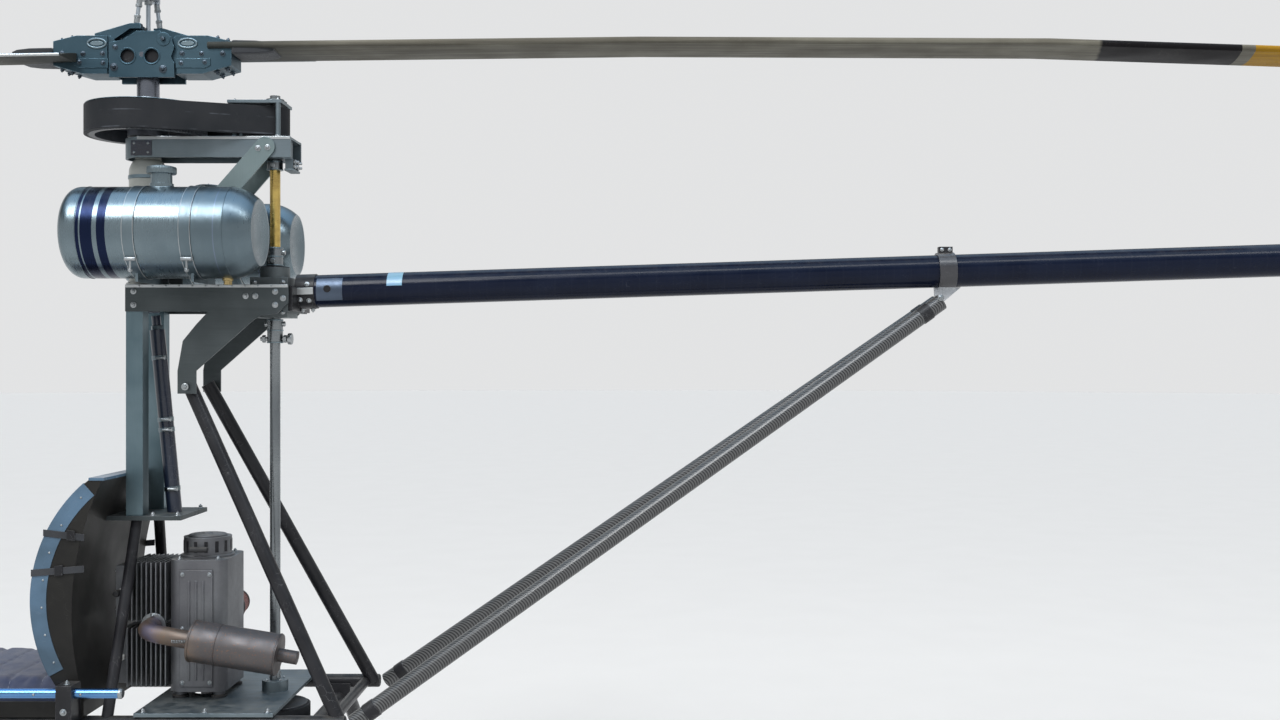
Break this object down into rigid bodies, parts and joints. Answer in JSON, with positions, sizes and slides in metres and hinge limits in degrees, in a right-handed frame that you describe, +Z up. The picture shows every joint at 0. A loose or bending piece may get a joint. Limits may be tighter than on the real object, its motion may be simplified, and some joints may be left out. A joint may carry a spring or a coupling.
{
  "type": "ultralight helicopter",
  "caption": "Open-frame single-seat ultralight helicopter on skids, with a belt-driven two-blade rotor, barrel tanks beside the mast and a slim tail boom.",
  "frame": {"origin": "on the ground under the centre of the bounding box, with the blades resting fore and aft", "axes": "+X aft along the tail boom, +Y to starboard, +Z up"},
  "size_m": [6.353, 1.554, 2.26],
  "materials": {
    "bare_aluminium": "brushed",
    "tank_aluminium": "spun and polished",
    "hub_aluminium": "machined",
    "shaft_steel": "ground",
    "plated_steel": "yellow plated",
    "dark_plate": "satin",
    "black_paint": "satin",
    "sprocket_black": "black anodised",
    "belt_rubber": "matte",
    "blade_skin": "weathered satin",
    "boom_skin": "gloss",
    "carbon_strut": "woven",
    "seat_skin": "satin outside",
    "seat_fabric": "woven",
    "pod_plastic": "matte",
    "engine_cast": "cast",
    "exhaust_steel": "heat darkened",
    "polished_tube": "polished",
    "fin_skin": "satin"
  },
  "bodies": {
    "airframe": {"main_belt": "belt_rubber", "mast_housing": "bare_aluminium", "top_beam": "bare_aluminium", "top_plate": "bare_aluminium", "diagonal_bars": "bare_aluminium", "bevel_gearbox": "hub_aluminium", "frame_plates": "dark_plate", "cross_plates": "dark_plate", "mast_posts": "bare_aluminium", "control_tube": "black_paint", "tank_cradle": "bare_aluminium", "fuel_tank_left": "tank_aluminium", "fuel_tank_right": "tank_aluminium", "frame_legs": "black_paint", "side_rails": "black_paint", "frame_crosses": "black_paint", "boom_struts": "carbon_strut", "skid_left": "bare_aluminium", "skid_right": "bare_aluminium", "wheel_lug_left": "bare_aluminium", "wheel_lug_right": "bare_aluminium", "cross_tube_front": "black_paint", "cross_tube_rear": "black_paint", "seat_back": "seat_skin", "seat_pan": "seat_skin", "seat_cushion": "seat_fabric", "back_cushion": "seat_fabric", "collective_lever": "polished_tube", "cyclic_stick": "black_paint", "pedals": "bare_aluminium", "instrument_pod": "pod_plastic", "instrument_post": "black_paint", "engine_plate": "bare_aluminium", "crankcase": "engine_cast", "cylinders": "engine_cast", "carburettor": "bare_aluminium", "exhaust": "exhaust_steel", "primary_pulleys": "sprocket_black", "primary_belt": "belt_rubber", "tail_boom": "boom_skin", "boom_collar": "black_paint", "strut_bracket": "bare_aluminium", "tail_gearbox": "hub_aluminium", "vertical_fin": "fin_skin", "tail_guard": "bare_aluminium", "stabilizer": "fin_skin"},
    "main_rotor": {"rotor_shaft": "shaft_steel", "big_sprocket": "sprocket_black", "hub_plates": "hub_aluminium", "blade_aft": "blade_skin", "blade_front": "blade_skin", "blade_grips": "hub_aluminium", "control_spider": "bare_aluminium"},
    "drive_line": {"drive_shaft": "plated_steel", "small_sprocket": "sprocket_black"},
    "tail_rotor": {"tail_rotor_hub": "hub_aluminium", "tail_blades": "fin_skin"}
  },
  "joints": [
    {"name": "main_rotor_spin", "type": "hinge", "parent": "airframe", "child": "main_rotor", "pos_m": [-0.4335, 0, 2.103], "axis": [0, 0, 1], "continuous": true},
    {"name": "drive_shaft_spin", "type": "hinge", "parent": "airframe", "child": "drive_line", "pos_m": [-0.1365, 0, 1.9], "axis": [0, 0, 1], "continuous": true},
    {"name": "tail_rotor_spin", "type": "hinge", "parent": "airframe", "child": "tail_rotor", "pos_m": [2.8865, 0.118, 1.65135], "axis": [0, 1, 0], "continuous": true}
  ],
  "couplings": [
    {"joint": "drive_shaft_spin", "follows": "main_rotor_spin", "ratio": 5},
    {"joint": "tail_rotor_spin", "follows": "main_rotor_spin", "ratio": -5}
  ]
}
